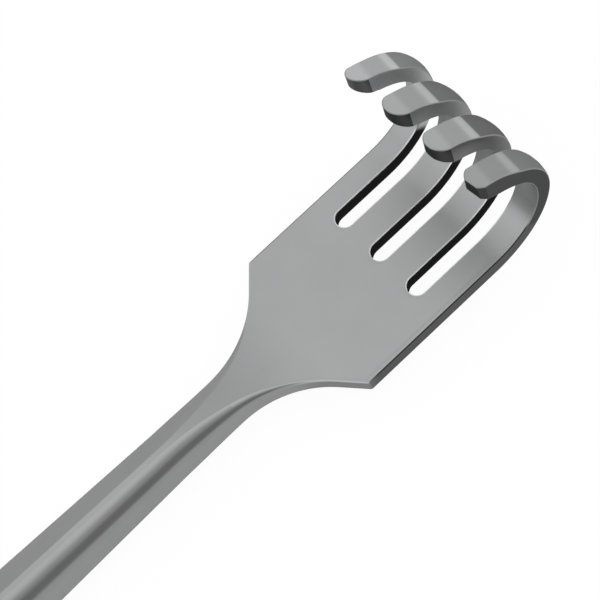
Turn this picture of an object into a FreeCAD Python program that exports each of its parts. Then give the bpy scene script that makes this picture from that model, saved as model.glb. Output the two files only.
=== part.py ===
# Hand-held rake retractor with four blunt prongs, in millimetres.
# The origin is the middle of the bottom face of the whole box, where the instrument
# lies on a table. +X runs along the shank towards the prongs, which curl up to +Z.
import FreeCAD, Part
import math
import os

from FreeCAD import Vector
from Sketcher import Constraint

# Numbers that a sketch gives to a curve's points and to its own two axes.
START, END, CENTRE = range(1, 4)
X_AXIS, Y_AXIS = range(-1, -3, -1)
# A direction whose share along an axis is below NONE is square to that axis, and an edge
# whose share along Z is above STEEP is upright.
NONE = 0.01
STEEP = 0.5

doc = FreeCAD.newDocument("rake_retractor")

SIZES = (
    ("overall_length", 215.0, "front of the prong bends to the end of the grip"),
    ("plate_width", 28.5, "across the four prongs"),
    ("plate_thick", 3.3, "plate, up to the prong bends"),
    ("hook_thick", 2.5, "prongs, from their crown on"),
    ("plate_lift", 3.45, "back of the plate above the table"),
    ("plate_length", 26.65, "shoulder to the start of the prong bend"),
    ("edge_break", 0.25, "bevel along the plate's and the prongs' edges"),
    ("prong_count", 4, "prongs across the plate"),
    ("outer_share", 0.85, "width of an outer prong as a share of an inner one"),
    ("slot_width", 3.28, "gap between two prongs"),
    ("slot_web", 14.3, "shoulder to the round end of the slots"),
    ("root_radius", 9.68, "inside of the prong's first bend"),
    ("root_angle", 82.7, "turn of the first bend's inside, degrees"),
    ("crown_radius", 12.62, "inside of the prong's crown"),
    ("crown_angle", 88.4, "turn of the crown's outside, degrees"),
    ("tip_radius", 40.0, "outside of the nearly straight tip"),
    ("tip_angle", 7.0, "turn of the tip's outside, degrees"),
    ("tip_height", 2.7, "upright blunt end of the tip"),
    ("tip_flat", 0.8, "straight end of an outer prong, between its rounded corners"),
    ("shoulder_angle", 49.0, "straight flank below the shoulder, degrees from X"),
    ("flare_radius", 18.8, "hollow flank between neck and plate"),
    ("neck_half", 3.9, "half the neck's width"),
    ("swell_length", 26.0, "length over which the plate swells to the round shank"),
    ("shank_half", 4.1, "half the shank's width where the swell ends"),
    ("shank_depth", 7.87, "depth of the shank where the swell ends"),
    ("shank_height", 5.0, "middle of the shank above the table where the swell ends"),
    ("shank_round", 3.65, "rounding of the shank's corners"),
    ("shank_angle", 1.5, "widening of the shank towards the grip, degrees from X"),
    ("grip_length", 88.0, "tear-drop grip, without its stub of shank"),
    ("grip_half", 5.4, "half the width where shank and grip meet"),
    ("grip_width", 26.0, "across the round end of the grip"),
    ("grip_thick", 10.0, "grip where it meets the shank"),
    ("grip_end_thick", 8.0, "grip at its round end"),
    ("grip_flare", 60.0, "hollow flank where the grip widens"),
    ("grip_round", 2.6, "rounding of the grip's edges"),
    ("window_end", 6.4, "half the width of the window's wide end"),
    ("window_front", 2.2, "half the width of the window's narrow end"),
    ("window_web", 27.0, "solid grip in front of the window"),
    ("stub_length", 18.0, "shank made in one with the grip"),
    ("spigot_radius", 2.5, "tenon of the rake that the handle takes"),
    ("spigot_length", 15.0, "tenon from the joint face to its end"),
    ("socket_clearance", 0.04, "between tenon and socket, all round"),
    ("socket_relief", 0.5, "socket beyond the end of the tenon"),
)

sheet = doc.addObject("Spreadsheet::Sheet", "sizes")
for row, (alias, size, note) in enumerate(SIZES, start=1):
    sheet.set(f"A{row}", alias)
    sheet.set(f"B{row}", str(size))
    sheet.set(f"C{row}", note)
    sheet.setAlias(f"B{row}", alias)
doc.recompute()

# Places along X, worked out from the driving sizes.
HALF_LENGTH = "(sizes.overall_length / 2)"
BEND_REACH = (
    "(sizes.hook_thick + sizes.crown_radius"
    " + (sizes.root_radius - sizes.crown_radius) * sin(sizes.root_angle))"
)
BEND_START = f"({HALF_LENGTH} - {BEND_REACH})"
SHOULDER = f"({BEND_START} - sizes.plate_length)"
SLOT_END = f"({SHOULDER} + sizes.slot_web)"
FLARE_RISE = "(sizes.flare_radius * (1 - cos(sizes.shoulder_angle)))"
FLANK_RUN = (
    f"((sizes.plate_width / 2 - sizes.neck_half - {FLARE_RISE})"
    " / tan(sizes.shoulder_angle))"
)
FLARE_TOP = f"({SHOULDER} - {FLANK_RUN})"
NECK = f"({FLARE_TOP} - sizes.flare_radius * sin(sizes.shoulder_angle))"
SWELL_END = f"({FLARE_TOP} - sizes.swell_length)"
GRIP_FRONT = f"(sizes.grip_length - {HALF_LENGTH})"
JOINT = f"({GRIP_FRONT} + sizes.stub_length)"
GRIP_CENTRE = f"(sizes.grip_width / 2 - {HALF_LENGTH})"
GRIP_HEIGHT = "(sizes.grip_thick / 2)"
PLATE_HEIGHT = "(sizes.plate_lift + sizes.plate_thick / 2)"
SLOT_COUNT = "(sizes.prong_count - 1)"
INNER_PRONG = (
    f"((sizes.plate_width - {SLOT_COUNT} * sizes.slot_width)"
    " / (sizes.prong_count - 2 + 2 * sizes.outer_share))"
)
SLOT_PITCH = f"({INNER_PRONG} + sizes.slot_width)"
TIP_ROUND = f"(({INNER_PRONG} * sizes.outer_share - sizes.tip_flat) / 2)"


def value(expression):
    """The number that an expression in the sheet's sizes stands for now."""
    return float(sheet.evalExpression(expression))


def between(start, end, share):
    """The expression for a size that lies a share of the way from start to end."""
    return f"({start} + ({end} - {start}) * {share})"


def origin_plane(body, role):
    """The body's own origin plane of that role."""
    return next(item for item in body.Origin.OriginFeatures if item.Role == role)


def new_sketch(body, name, role, offset=None):
    """An empty sketch on one of the body's origin planes, moved along its normal."""
    sketch = body.newObject("Sketcher::SketchObject", name)
    sketch.AttachmentSupport = (origin_plane(body, role), [""])
    sketch.MapMode = "FlatFace"
    if offset is not None:
        sketch.setExpression(".AttachmentOffset.Base.z", offset)
    return sketch


def size(sketch, constraint, expression):
    """Adds a dimension to the sketch and binds it to the sheet."""
    index = sketch.addConstraint(constraint)
    sketch.setExpression(f"Constraints[{index}]", expression)
    return index


def arc(centre, radius, start, end):
    """A circular arc that runs anticlockwise from start to end, in degrees."""
    circle = Part.Circle(Vector(*centre, 0), Vector(0, 0, 1), radius)
    return Part.ArcOfCircle(circle, math.radians(start), math.radians(end))


def line(start, end):
    return Part.LineSegment(Vector(*start, 0), Vector(*end, 0))


def section(body, name, station, half_width, depth, height, corner):
    """A rounded rectangle across the instrument at a station along X."""
    sketch = new_sketch(body, name, "YZ_Plane", station)
    a, r = value(half_width), value(corner)
    low = value(height) - value(depth) / 2
    high = value(height) + value(depth) / 2
    sketch.addGeometry([
        line((r - a, low), (a - r, low)),
        arc((a - r, low + r), r, 270, 360),
        line((a, low + r), (a, high - r)),
        arc((a - r, high - r), r, 0, 90),
        line((a - r, high), (r - a, high)),
        arc((r - a, high - r), r, 90, 180),
        line((-a, high - r), (-a, low + r)),
        arc((r - a, low + r), r, 180, 270),
    ])
    for side in range(8):
        sketch.addConstraint(Constraint("Tangent", side, END, (side + 1) % 8, START))
    sketch.addConstraint([
        Constraint("Horizontal", 0),
        Constraint("Vertical", 2),
        Constraint("Vertical", 6),
        Constraint("Equal", 1, 3),
        Constraint("Equal", 3, 5),
        Constraint("Equal", 5, 7),
        Constraint("Symmetric", 4, START, 4, END, Y_AXIS),
    ])
    size(sketch, Constraint("Radius", 1, r), corner)
    size(sketch, Constraint("DistanceX", 6, START, 2, END, 2 * a), f"2 * {half_width}")
    size(sketch, Constraint("DistanceY", 0, START, 4, END, high - low), depth)
    size(sketch, Constraint("DistanceY", X_AXIS, START, 0, START, low), f"{height} - {depth} / 2")
    return sketch


def loft(body, name, sections):
    """A skin through the sections in order: straight from one to the other when there
    are two, smooth when there are more."""
    feature = body.newObject("PartDesign::AdditiveLoft", name)
    feature.Profile = sections[0]
    feature.Sections = sections[1:]
    feature.Ruled = len(sections) == 2
    return feature


def swell(station):
    """How far the plate has swelled into the shank at a station: 0 at the top of the
    flare, 1 where the swell ends, with no slope at either end."""
    share = f"(({FLARE_TOP} - {station}) / sizes.swell_length)"
    return f"({share}^2 * (3 - 2 * {share}))"


def flare_section(body, name, station, half_width):
    """A section of the neck, whose depth, height and corners follow the swell."""
    grown = swell(station)
    return section(
        body, name, station, half_width,
        between("sizes.plate_thick", "sizes.shank_depth", grown),
        between(PLATE_HEIGHT, "sizes.shank_height", grown),
        between("sizes.edge_break", "sizes.shank_round", grown),
    )


def shank_section(body, name, widened):
    """A section of the shank at the swell's end, or at the joint, where it has widened."""
    station = JOINT if widened else SWELL_END
    growth = f"(({SWELL_END} - {station}) * tan(sizes.shank_angle))"
    return section(
        body, name, station,
        f"(sizes.shank_half + {growth})",
        f"(sizes.shank_depth + 2 * {growth})",
        "sizes.shank_height",
        f"(sizes.shank_round + {growth})",
    )


def edge_names(shape, wanted):
    """Names of the shape's edges that the test picks."""
    return [f"Edge{i}" for i, edge in enumerate(shape.Edges, start=1) if wanted(edge)]


def round_edges(body, name, base, wanted, radius):
    """Rounds the edges of the base feature that the test picks."""
    fillet = body.newObject("PartDesign::Fillet", name)
    fillet.Base = (base, edge_names(base.Shape, wanted))
    fillet.setExpression("Radius", radius)
    return fillet


def away(point, length, angle):
    """The point at a distance from another, in a direction in degrees from the X axis."""
    turned = math.radians(angle)
    return point[0] + length * math.cos(turned), point[1] + length * math.sin(turned)


def hook_profile(body):
    """Side view of plate and prong: a flat strip, two bends and a nearly straight tip.
    The strip thins through the first bend and keeps its thickness round the crown. The
    tip's straight inside thins it again, towards an upright end."""
    sketch = new_sketch(body, "hook_profile", "XZ_Plane")
    thick, tip_height = value("sizes.hook_thick"), value("sizes.tip_height")
    low, high = value("sizes.plate_lift"), value("sizes.plate_lift + sizes.plate_thick")
    back, bend = value(SHOULDER), value(BEND_START)
    root, crown, tip = (value(f"sizes.{bend_name}_radius") for bend_name in ("root", "crown", "tip"))
    inner_turn = 270 + value("sizes.root_angle")
    inner_centre = (bend, high + root)
    crown_centre = away(inner_centre, root - crown, inner_turn)
    run, rise = crown_centre[0] - bend, crown_centre[1] - low
    outer = ((crown + thick)**2 - run**2 - rise**2) / (crown + thick - rise) / 2
    outer_centre = (bend, low + outer)
    outer_turn = 270 + math.degrees(math.atan2(-run, rise - outer))
    crowned = outer_turn + value("sizes.crown_angle")
    ended = crowned + value("sizes.tip_angle")
    tip_centre = away(crown_centre, crown + thick - tip, crowned)
    tip_outer = away(tip_centre, tip, ended)
    tip_inner = (tip_outer[0], tip_outer[1] - tip_height)
    reach = math.dist(tip_inner, crown_centre)
    bearing = math.atan2(tip_inner[1] - crown_centre[1], tip_inner[0] - crown_centre[0])
    touch = 360 + math.degrees(bearing - math.acos(crown / reach))
    sketch.addGeometry([
        line((back, low), (bend, low)),
        arc(outer_centre, outer, 270, outer_turn),
        arc(crown_centre, crown + thick, outer_turn, crowned),
        arc(tip_centre, tip, crowned, ended),
        line(tip_outer, tip_inner),
        line(tip_inner, away(crown_centre, crown, touch)),
        arc(crown_centre, crown, inner_turn, touch),
        arc(inner_centre, root, 270, inner_turn),
        line((bend, high), (back, high)),
        line((back, high), (back, low)),
    ])
    bottom, root_out, crown_out, tip_out, end, tip_in, crown_in, root_in, top, rear = range(10)
    sketch.addConstraint([
        Constraint("Tangent", bottom, END, root_out, START),
        Constraint("Tangent", root_out, END, crown_out, START),
        Constraint("Tangent", crown_out, END, tip_out, START),
        Constraint("Coincident", tip_out, END, end, START),
        Constraint("Coincident", end, END, tip_in, START),
        Constraint("Tangent", tip_in, END, crown_in, END),
        Constraint("Tangent", crown_in, START, root_in, END),
        Constraint("Tangent", root_in, START, top, START),
        Constraint("Coincident", top, END, rear, START),
        Constraint("Coincident", rear, END, bottom, START),
        Constraint("Vertical", root_out, CENTRE, root_in, CENTRE),
        Constraint("Coincident", crown_out, CENTRE, crown_in, CENTRE),
        Constraint("Horizontal", bottom),
        Constraint("Horizontal", top),
        Constraint("Vertical", rear),
        Constraint("Vertical", end),
    ])
    size(sketch, Constraint("DistanceY", bottom, START, rear, START, high - low), "sizes.plate_thick")
    size(sketch, Constraint("DistanceY", X_AXIS, START, bottom, START, low), "sizes.plate_lift")
    size(sketch, Constraint("DistanceX", X_AXIS, START, bottom, START, back), SHOULDER)
    size(sketch, Constraint("DistanceX", bottom, START, bottom, END, bend - back), "sizes.plate_length")
    size(sketch, Constraint("DistanceY", end, END, end, START, tip_height), "sizes.tip_height")
    size(sketch, Constraint("Radius", crown_out, crown + thick), "sizes.crown_radius + sizes.hook_thick")
    for ring, turning, bend_name in ((root_in, root_in, "root"), (crown_in, crown_out, "crown"),
                                     (tip_out, tip_out, "tip")):
        radius, turn = f"sizes.{bend_name}_radius", f"sizes.{bend_name}_angle"
        size(sketch, Constraint("Radius", ring, value(radius)), radius)
        size(sketch, Constraint("Angle", turning, math.radians(value(turn))), f"{turn} * 1 deg")
    return sketch


def slot_profile(body):
    """Plan of the first slot: a half-round end, open past the front of the bends."""
    sketch = new_sketch(body, "slot_profile", "XY_Plane")
    half = value("sizes.slot_width / 2")
    middle = value(f"-{SLOT_PITCH} * ({SLOT_COUNT} - 1) / 2")
    end, front = value(SLOT_END), value(f"{HALF_LENGTH} + sizes.slot_width")
    sketch.addGeometry([
        arc((end + half, middle), half, 90, 270),
        line((end + half, middle - half), (front, middle - half)),
        line((front, middle - half), (front, middle + half)),
        line((front, middle + half), (end + half, middle + half)),
    ])
    sketch.addConstraint([
        Constraint("Tangent", 0, END, 1, START),
        Constraint("Coincident", 1, END, 2, START),
        Constraint("Coincident", 2, END, 3, START),
        Constraint("Tangent", 3, END, 0, START),
        Constraint("Horizontal", 1),
        Constraint("Vertical", 2),
        Constraint("Horizontal", 3),
    ])
    size(sketch, Constraint("Radius", 0, half), "sizes.slot_width / 2")
    size(sketch, Constraint("DistanceX", X_AXIS, START, 0, CENTRE, end + half),
         f"{SLOT_END} + sizes.slot_width / 2")
    size(sketch, Constraint("DistanceY", 0, CENTRE, X_AXIS, START, -middle),
         f"{SLOT_PITCH} * ({SLOT_COUNT} - 1) / 2")
    size(sketch, Constraint("DistanceX", X_AXIS, START, 2, START, front),
         f"{HALF_LENGTH} + sizes.slot_width")
    return sketch


def disc(body, name, station, radius):
    """A circle across the instrument on the shank's middle line at the joint."""
    sketch = new_sketch(body, name, "YZ_Plane", station)
    centre = Vector(0, value("sizes.shank_height"), 0)
    sketch.addGeometry(Part.Circle(centre, Vector(0, 0, 1), value(radius)))
    sketch.addConstraint(Constraint("PointOnObject", 0, CENTRE, Y_AXIS))
    size(sketch, Constraint("Radius", 0, value(radius)), radius)
    size(sketch, Constraint("DistanceY", X_AXIS, START, 0, CENTRE, value("sizes.shank_height")),
         "sizes.shank_height")
    return sketch


def grew(feature, base_volume, sign):
    """Stops if a feature added or removed nothing."""
    doc.recompute()
    if sign * (feature.Shape.Volume - base_volume) <= 0:
        raise RuntimeError(f"{feature.Name} changed nothing")


# Sections of the hollow flank, each at a share of the flank's turn, and the one section
# between neck and shank.
FLARE_SECTIONS = (("flare_top", 1), ("flare_3", 0.72), ("flare_2", 0.45), ("flare_1", 0.2), ("neck", 0))
NECK_MIDDLE = 0.5


def make_rake_head():
    """Plate, prongs, neck and front of the shank, forged and milled in one piece."""
    body = doc.addObject("PartDesign::Body", "rake_head")
    body.Label = "rake_head"

    strip = body.newObject("PartDesign::Pad", "strip")
    strip.Profile = hook_profile(body)
    strip.Midplane = True
    strip.setExpression("Length", "sizes.plate_width")
    doc.recompute()

    slot = body.newObject("PartDesign::Pocket", "slot")
    slot.Profile = slot_profile(body)
    slot.Type = "ThroughAll"
    slot.Midplane = True
    grew(slot, strip.Shape.Volume, -1)
    slots = body.newObject("PartDesign::LinearPattern", "slots")
    slots.Originals = [slot]
    slots.Direction = (origin_plane(body, "Y_Axis"), [""])
    slots.setExpression("Length", f"{SLOT_PITCH} * ({SLOT_COUNT} - 1)")
    slots.setExpression("Occurrences", SLOT_COUNT)
    body.Tip = slots
    doc.recompute()

    back = value(f"{SHOULDER} + sizes.edge_break")
    low = value("sizes.plate_lift + sizes.plate_thick + sizes.root_radius")

    def tip_corner(edge):
        """The upright edges at the corners of a prong's blunt end."""
        at_end = isinstance(edge.Curve, Part.Line) and edge.CenterOfMass.z > low
        return at_end and abs(edge.tangentAt(edge.FirstParameter).z) > 1 - NONE

    tips = round_edges(body, "round_tips", slots, tip_corner, TIP_ROUND)
    doc.recompute()

    def broad(face):
        """A face of the strip's top or back, whose normal has a share along Z and none
        along Y."""
        u0, u1, v0, v1 = face.ParameterRange
        normal = face.normalAt((u0 + u1) / 2, (v0 + v1) / 2)
        return abs(normal.y) < NONE < abs(normal.z)

    def long_edge(edge):
        """Edges of the strip's two broad faces, all but those of the rear end."""
        sides = [face for face in tips.Shape.ancestorsOfType(edge, Part.Face) if broad(face)]
        return len(sides) == 1 and edge.CenterOfMass.x > back

    edges = body.newObject("PartDesign::Chamfer", "break_edges")
    edges.Base = (tips, edge_names(tips.Shape, long_edge))
    edges.setExpression("Size", "sizes.edge_break")
    doc.recompute()

    flare = []
    for name, share in FLARE_SECTIONS:
        turn = f"(sizes.shoulder_angle * {share})"
        station = f"({NECK} + sizes.flare_radius * sin({turn}))"
        half = f"(sizes.neck_half + sizes.flare_radius * (1 - cos({turn})))"
        flare.append(flare_section(body, name, station, half))
    neck_middle = flare_section(
        body, "neck_middle",
        between(NECK, SWELL_END, NECK_MIDDLE),
        between("sizes.neck_half", "sizes.shank_half", NECK_MIDDLE),
    )
    shoulder = section(body, "shoulder", SHOULDER, "(sizes.plate_width / 2)",
                       "sizes.plate_thick", PLATE_HEIGHT, "sizes.edge_break")
    swell_end = shank_section(body, "swell_end", widened=False)
    base = edges
    for name, sections in (
        ("shoulder_flank", [shoulder, flare[0]]),
        ("flare", flare),
        ("neck_swell", [flare[-1], neck_middle, swell_end]),
    ):
        volume = base.Shape.Volume
        base = loft(body, name, sections)
        grew(base, volume, 1)

    shank = body.newObject("PartDesign::Pad", "shank")
    shank.Profile = swell_end
    shank.Reversed = True
    shank.setExpression("Length", f"{SWELL_END} - {JOINT}")
    shank.setExpression("TaperAngle", "sizes.shank_angle")
    grew(shank, base.Shape.Volume, 1)

    spigot = body.newObject("PartDesign::Pad", "spigot")
    spigot.Profile = disc(body, "spigot_disc", JOINT, "sizes.spigot_radius")
    spigot.Reversed = True
    spigot.setExpression("Length", "sizes.spigot_length")
    grew(spigot, shank.Shape.Volume, 1)
    body.Tip = spigot
    return body


def grip_profile(body):
    """Plan of the grip: hollow flanks that open from the shank, straight sides and a
    round end."""
    sketch = new_sketch(body, "grip_profile", "XY_Plane")
    front, middle = value(GRIP_FRONT), value(GRIP_CENTRE)
    half, flare, end = value("sizes.grip_half"), value("sizes.grip_flare"), value("sizes.grip_width / 2")
    apart = math.hypot(front - middle, half + flare)
    slope = math.asin((flare + end) / apart) - math.atan2(half + flare, front - middle)
    tilt = math.degrees(slope)
    flank = (front - flare * math.sin(slope), half + flare * (1 - math.cos(slope)))
    side = (middle + end * math.sin(slope), end * math.cos(slope))
    sketch.addGeometry([
        line((front, -half), (front, half)),
        arc((front, half + flare), flare, 270 - tilt, 270),
        line(flank, side),
        arc((middle, 0), end, 90 - tilt, 270 + tilt),
        line((side[0], -side[1]), (flank[0], -flank[1])),
        arc((front, -half - flare), flare, 90, 90 + tilt),
    ])
    sketch.addConstraint([
        Constraint("Coincident", 0, END, 1, END),
        Constraint("Tangent", 1, START, 2, START),
        Constraint("Tangent", 2, END, 3, START),
        Constraint("Tangent", 3, END, 4, START),
        Constraint("Tangent", 4, END, 5, END),
        Constraint("Coincident", 5, START, 0, START),
        Constraint("Vertical", 1, CENTRE, 0, END),
        Constraint("Vertical", 5, CENTRE, 0, END),
        Constraint("Symmetric", 0, START, 0, END, X_AXIS),
        Constraint("PointOnObject", 3, CENTRE, X_AXIS),
        Constraint("Equal", 1, 5),
    ])
    size(sketch, Constraint("Radius", 1, flare), "sizes.grip_flare")
    size(sketch, Constraint("Radius", 3, end), "sizes.grip_width / 2")
    size(sketch, Constraint("DistanceY", 0, START, 0, END, 2 * half), "2 * sizes.grip_half")
    size(sketch, Constraint("DistanceX", 0, START, X_AXIS, START, -front), f"-{GRIP_FRONT}")
    size(sketch, Constraint("DistanceX", 3, CENTRE, X_AXIS, START, -middle), f"-{GRIP_CENTRE}")
    return sketch


def window_profile(body):
    """Plan of the grip's window: a round end of either size and straight sides."""
    sketch = new_sketch(body, "window_profile", "XY_Plane")
    wide, narrow = value("sizes.window_end"), value("sizes.window_front")
    rear, middle = value(GRIP_CENTRE), value(f"{GRIP_FRONT} - sizes.window_web - sizes.window_front")
    slope = math.asin((wide - narrow) / (middle - rear))
    tilt = math.degrees(slope)
    rear_point = (rear + wide * math.sin(slope), wide * math.cos(slope))
    front_point = (middle + narrow * math.sin(slope), narrow * math.cos(slope))
    sketch.addGeometry([
        arc((rear, 0), wide, 90 - tilt, 270 + tilt),
        line((rear_point[0], -rear_point[1]), (front_point[0], -front_point[1])),
        arc((middle, 0), narrow, tilt - 90, 90 - tilt),
        line(front_point, rear_point),
    ])
    sketch.addConstraint([
        Constraint("Tangent", 0, END, 1, START),
        Constraint("Tangent", 1, END, 2, START),
        Constraint("Tangent", 2, END, 3, START),
        Constraint("Tangent", 3, END, 0, START),
        Constraint("PointOnObject", 0, CENTRE, X_AXIS),
        Constraint("PointOnObject", 2, CENTRE, X_AXIS),
    ])
    size(sketch, Constraint("Radius", 0, wide), "sizes.window_end")
    size(sketch, Constraint("Radius", 2, narrow), "sizes.window_front")
    size(sketch, Constraint("DistanceX", 0, CENTRE, X_AXIS, START, -rear), f"-{GRIP_CENTRE}")
    size(sketch, Constraint("DistanceX", 2, CENTRE, X_AXIS, START, -middle),
         f"sizes.window_web + sizes.window_front - {GRIP_FRONT}")
    return sketch


def taper_profile(body):
    """Side view of the wedge that is ground off the grip's top towards its end."""
    sketch = new_sketch(body, "taper_profile", "XZ_Plane")
    front, rear = value(GRIP_FRONT), value(f"-{HALF_LENGTH} - sizes.grip_thick")
    high, low = value("sizes.grip_thick"), value("sizes.grip_end_thick")
    sketch.addGeometry([
        line((front, high), (rear, low)),
        line((rear, low), (rear, high + low)),
        line((rear, high + low), (front, high)),
    ])
    for side in range(3):
        sketch.addConstraint(Constraint("Coincident", side, END, (side + 1) % 3, START))
    sketch.addConstraint(Constraint("Vertical", 1))
    size(sketch, Constraint("DistanceX", 0, START, X_AXIS, START, -front), f"-{GRIP_FRONT}")
    size(sketch, Constraint("DistanceX", 0, END, X_AXIS, START, -rear), f"{HALF_LENGTH} + sizes.grip_thick")
    size(sketch, Constraint("DistanceY", X_AXIS, START, 0, START, high), "sizes.grip_thick")
    size(sketch, Constraint("DistanceY", X_AXIS, START, 0, END, low), "sizes.grip_end_thick")
    size(sketch, Constraint("DistanceY", 1, START, 1, END, high), "sizes.grip_thick")
    return sketch


def make_handle():
    """Tear-drop grip with its window and the rear of the shank, bored for the rake."""
    body = doc.addObject("PartDesign::Body", "handle")
    body.Label = "handle"

    grip = body.newObject("PartDesign::Pad", "grip")
    grip.Profile = grip_profile(body)
    grip.setExpression("Length", "sizes.grip_thick")
    doc.recompute()

    taper = body.newObject("PartDesign::Pocket", "taper")
    taper.Profile = taper_profile(body)
    taper.Type = "ThroughAll"
    taper.Midplane = True
    grew(taper, grip.Shape.Volume, -1)

    window = body.newObject("PartDesign::Pocket", "window")
    window.Profile = window_profile(body)
    window.Type = "ThroughAll"
    window.Midplane = True
    grew(window, taper.Shape.Volume, -1)

    front = value(f"{GRIP_FRONT} - sizes.grip_round / 2")

    def rim(edge):
        """Edges of the grip's top and bottom, all but those of its front end."""
        level = abs(edge.tangentAt(edge.FirstParameter).z) < STEEP
        return level and edge.CenterOfMass.x < front

    rims = round_edges(body, "round_grip", window, rim, "sizes.grip_round")
    doc.recompute()

    stub_rear = section(body, "stub_rear", GRIP_FRONT, "sizes.grip_half", "sizes.grip_thick",
                        GRIP_HEIGHT, "sizes.grip_round")
    stub = loft(body, "shank_stub", [shank_section(body, "stub_front", widened=True), stub_rear])
    grew(stub, rims.Shape.Volume, 1)

    socket = body.newObject("PartDesign::Pocket", "socket")
    socket.Profile = disc(body, "socket_disc", JOINT, "(sizes.spigot_radius + sizes.socket_clearance)")
    socket.setExpression("Length", "sizes.spigot_length + sizes.socket_relief")
    grew(socket, stub.Shape.Volume, -1)
    body.Tip = socket
    return body


def check(pieces):
    """Stops if a feature failed or a piece isn't one valid solid."""
    for item in doc.Objects:
        if "Invalid" in item.State or "Error" in item.State:
            raise RuntimeError(f"{item.Name} failed: {item.State}")
    for piece in pieces:
        shape = piece.Shape
        if shape.isNull() or not shape.isValid() or len(shape.Solids) != 1:
            raise RuntimeError(f"{piece.Label} isn't one valid solid")


pieces = [make_rake_head(), make_handle()]
doc.recompute()
check(pieces)
os.makedirs("parts", exist_ok=True)
for piece in pieces:
    piece.Shape.exportStep(f"parts/{piece.Label}.step")
    box = piece.Shape.BoundBox
    print(piece.Label, f"volume {piece.Shape.Volume:.1f}", f"X {box.XMin:.2f} {box.XMax:.2f}",
          f"Y {box.YMin:.2f} {box.YMax:.2f}", f"Z {box.ZMin:.2f} {box.ZMax:.2f}")
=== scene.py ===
import math

import bmesh
import bpy
import numpy as np
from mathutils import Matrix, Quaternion, Vector


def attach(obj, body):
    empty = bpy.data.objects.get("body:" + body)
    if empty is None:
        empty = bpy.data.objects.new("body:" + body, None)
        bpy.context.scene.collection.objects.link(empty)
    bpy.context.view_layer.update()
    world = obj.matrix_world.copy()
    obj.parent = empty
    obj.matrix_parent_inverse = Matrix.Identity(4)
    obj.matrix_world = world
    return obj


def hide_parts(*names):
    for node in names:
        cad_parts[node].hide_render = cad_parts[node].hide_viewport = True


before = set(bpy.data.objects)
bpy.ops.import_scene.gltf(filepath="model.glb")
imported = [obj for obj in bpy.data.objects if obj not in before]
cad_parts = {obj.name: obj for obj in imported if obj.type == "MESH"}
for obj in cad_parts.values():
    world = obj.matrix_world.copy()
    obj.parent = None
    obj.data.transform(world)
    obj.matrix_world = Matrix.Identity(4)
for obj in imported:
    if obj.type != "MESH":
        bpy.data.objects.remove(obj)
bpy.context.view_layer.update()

MM = 0.001

# Sizes of the rake head, in millimetres, as in the part's sheet.
HALF_LENGTH = 107.5
PLATE_HALF = 14.25
PLATE_THICK = 3.3
HOOK_THICK = 2.5
PLATE_LIFT = 3.45
PLATE_TOP = PLATE_LIFT + PLATE_THICK
PLATE_LENGTH = 26.65
PRONGS = 4
OUTER_SHARE = 0.85
SLOT_HALF = 1.64
SLOT_WEB = 14.3
ROOT_RADIUS = 9.68
ROOT_TURN = math.radians(82.7)
CROWN_RADIUS = 12.62
CROWN_TURN = math.radians(88.4)
TIP_RADIUS = 40.0
TIP_TURN = math.radians(7.0)
SHOULDER_ANGLE = math.radians(49)
FLARE_RADIUS = 18.8
NECK_HALF = 3.9
SWELL_LENGTH = 26.0
SHANK_HALF = 4.1
SHANK_DEPTH = 7.87
SHANK_HEIGHT = 5.0
SHANK_ROUND = 3.65
SHANK_SLOPE = math.tan(math.radians(1.5))
SPIGOT_RADIUS = 2.5
SPIGOT_LENGTH = 15.0

# Sizes of the handle. Its stations count from the middle towards the end of the grip. The
# grip's top falls in a straight line that would come down to GRIP_END_THICK this far past
# the grip's end, FALL_PAST_END.
JOINT = 1.5
GRIP_FRONT = 19.5
GRIP_HALF = 5.4
GRIP_THICK = 10.0
GRIP_END_THICK = 8.0
FALL_PAST_END = 10.0
GRIP_END = 13.0
GRIP_FLARE = 60.0
GRIP_ROUND = 2.6
WINDOW_END = 6.4
WINDOW_FRONT = 2.2
WINDOW_WEB = 27.0
SOCKET_RADIUS = 2.54
SOCKET_LENGTH = 15.5

# What the finish adds: rounded edges and shoulders, and slots set a little to one side.
EDGE = 0.16
SHOULDER_ROUND = 0.6
SLOT_SHIFT = 0.25

# The prongs get their full thinness this far past the first bend. They thicken over this
# length before the last bend, and thin again along it.
THIN_PAST = 3.0
TIP_SWELL = 0.45
TIP_SWELL_LENGTH = 10.0
TIP_THINNING = 0.35

# One outer edge of each prong is ground off towards its end: by how much, and from where to
# where, back from the blunt end. The end's own plan curve begins at TIP_REACH.
GROUND_OFF = 0.6
GROUND_OFF_START = 9.5
GROUND_OFF_FULL = 3.5
TIP_REACH = 3.2

# The outside of the crown stands proud between its edges: by how much, and where that
# begins, is full, and ends again, back from the blunt end.
CROWNING = 0.45
CROWNED = (8.0, 13.0, 20.0, 26.0)

# How much light the steel gives back, painted into its colour: its own level on satin faces,
# painted shade on the walls of the slots, the plate's own sides and the flared flanks, and
# painted light on the prongs' far sides. The lips are the rounded edges of the flanks, the
# slots, the hooks and the plate's sides: a painted highlight on the flanks' and the slots',
# painted shade on the hooks' and the plate's.
SATIN = 0.272
SLOT_WALL_PAINTED_SHADE = 0.012
FAR_WALL_PAINTED_LIGHT = 0.42
PLATE_WALL_PAINTED_SHADE = 0.1
FLARE_WALL_PAINTED_SHADE = 0.2
FLARE_LIP_PAINTED_HIGHLIGHT = 0.42
SLOT_LIP_PAINTED_HIGHLIGHT = 0.7
HOOK_LIP_PAINTED_SHADE = 0.24
PLATE_LIP_PAINTED_SHADE = 0.03

# Where one painted level turns into another: the rounding at which the flanks' painted
# levels begin, the length past the shoulder, the length past the first bend, and where the
# walls' painted shade ends, back from the blunt end, with the length over which it fades.
FLARE_ROUNDING = 0.6
SHOULDER_FADE = 0.5
BEND_FADE = 4.0
DARK_WALL = 31.5
DARK_WALL_FADE = 1.5

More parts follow.
